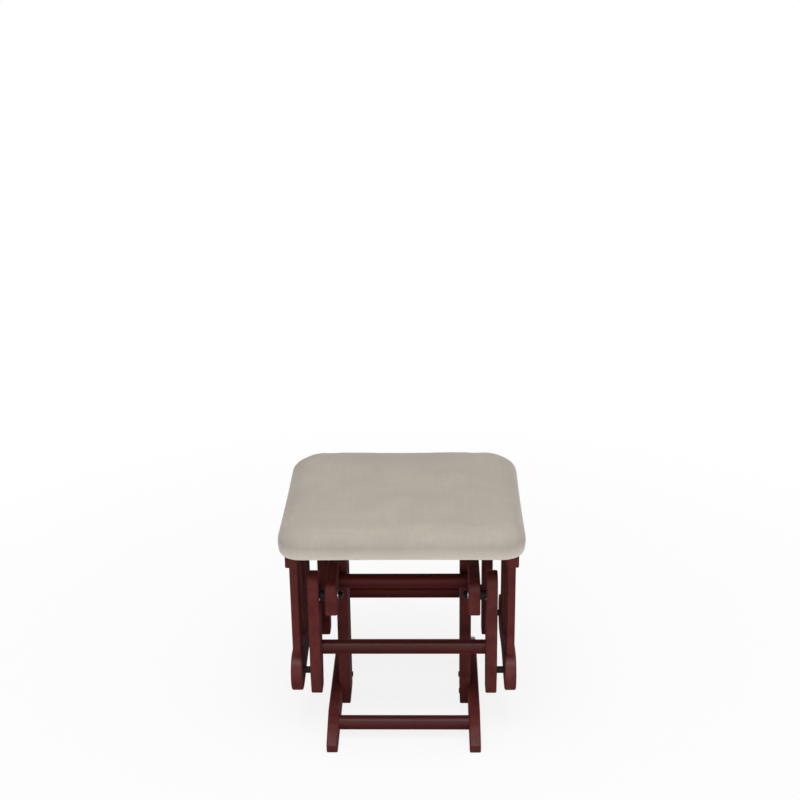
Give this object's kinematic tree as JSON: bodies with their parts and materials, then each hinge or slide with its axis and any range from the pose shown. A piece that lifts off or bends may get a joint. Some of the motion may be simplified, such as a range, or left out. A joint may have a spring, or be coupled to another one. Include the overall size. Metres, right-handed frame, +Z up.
{
  "type": "glider ottoman",
  "caption": "Wooden glider ottoman: a padded seat on slatted side frames that swings level on bearing-mounted link arms over a runner base.",
  "frame": {"origin": "on the floor, under the middle of the ottoman's overall box", "axes": "+X to the right seen from the front, +Y to the back, +Z up; the front faces -Y and the seat glides along Y"},
  "size_m": [0.449, 0.397, 0.4653],
  "materials": {
    "lacquered_wood": "dark reddish brown stain under satin lacquer",
    "plywood": "unfinished plywood",
    "cushion_fabric": "soft short-pile beige upholstery fabric",
    "black_plastic": "moulded black plastic",
    "black_steel": "black coated steel",
    "zinc_steel": "zinc plated",
    "bearing_steel": "ground bearing steel"
  },
  "bodies": {
    "base": {"runner_left": "lacquered_wood", "runner_right": "lacquered_wood", "post_left": "lacquered_wood", "post_right": "lacquered_wood", "upper_rail_left": "lacquered_wood", "upper_rail_right": "lacquered_wood", "upper_stretcher": "lacquered_wood", "front_floor_stretcher": "lacquered_wood", "rear_floor_stretcher": "lacquered_wood", "upper_pivot_bolts": "black_steel", "upper_pivot_nuts": "black_steel", "upper_pivot_washers": "zinc_steel", "upper_pivot_spacers": "black_plastic", "upper_bearing_inner_rings": "bearing_steel", "frame_bolts": "black_steel", "frame_nuts": "black_steel", "stretcher_bolts": "black_steel", "stretcher_inserts": "zinc_steel"},
    "front_arms": {"front_arm_left": "lacquered_wood", "front_arm_right": "lacquered_wood", "front_arm_crossbar": "lacquered_wood", "front_bearing_outer_rings": "bearing_steel", "front_crossbar_bolts": "black_steel", "front_crossbar_inserts": "zinc_steel"},
    "rear_arms": {"rear_arm_left": "lacquered_wood", "rear_arm_right": "lacquered_wood", "rear_arm_crossbar": "lacquered_wood", "rear_bearing_outer_rings": "bearing_steel", "rear_crossbar_bolts": "black_steel", "rear_crossbar_inserts": "zinc_steel"},
    "seat": {"lower_rail_left": "lacquered_wood", "lower_rail_right": "lacquered_wood", "top_rail_left": "lacquered_wood", "top_rail_right": "lacquered_wood", "slat_left_front": "lacquered_wood", "slat_left_middle": "lacquered_wood", "slat_left_rear": "lacquered_wood", "slat_right_front": "lacquered_wood", "slat_right_middle": "lacquered_wood", "slat_right_rear": "lacquered_wood", "lower_pivot_bolts": "black_steel", "lower_pivot_nuts": "black_steel", "lower_pivot_washers": "zinc_steel", "lower_pivot_spacers": "black_plastic", "lower_bearing_inner_rings": "bearing_steel", "seat_board": "plywood", "seat_screws": "zinc_steel", "seat_cushion": "cushion_fabric"}
  },
  "joints": [
    {"name": "front_swing", "type": "hinge", "parent": "base", "child": "front_arms", "pos_m": [0, -0.108, 0.287], "axis": [1, 0, 0], "range_deg": [-18, 18]},
    {"name": "rear_swing", "type": "hinge", "parent": "base", "child": "rear_arms", "pos_m": [0, 0.108, 0.287], "axis": [1, 0, 0], "range_deg": [-18, 18]},
    {"name": "seat_level", "type": "hinge", "parent": "front_arms", "child": "seat", "pos_m": [0, -0.108, 0.126], "axis": [1, 0, 0], "range_deg": [-18, 18]}
  ],
  "couplings": [
    {"joint": "rear_swing", "follows": "front_swing", "ratio": 1},
    {"joint": "seat_level", "follows": "front_swing", "ratio": -1}
  ]
}
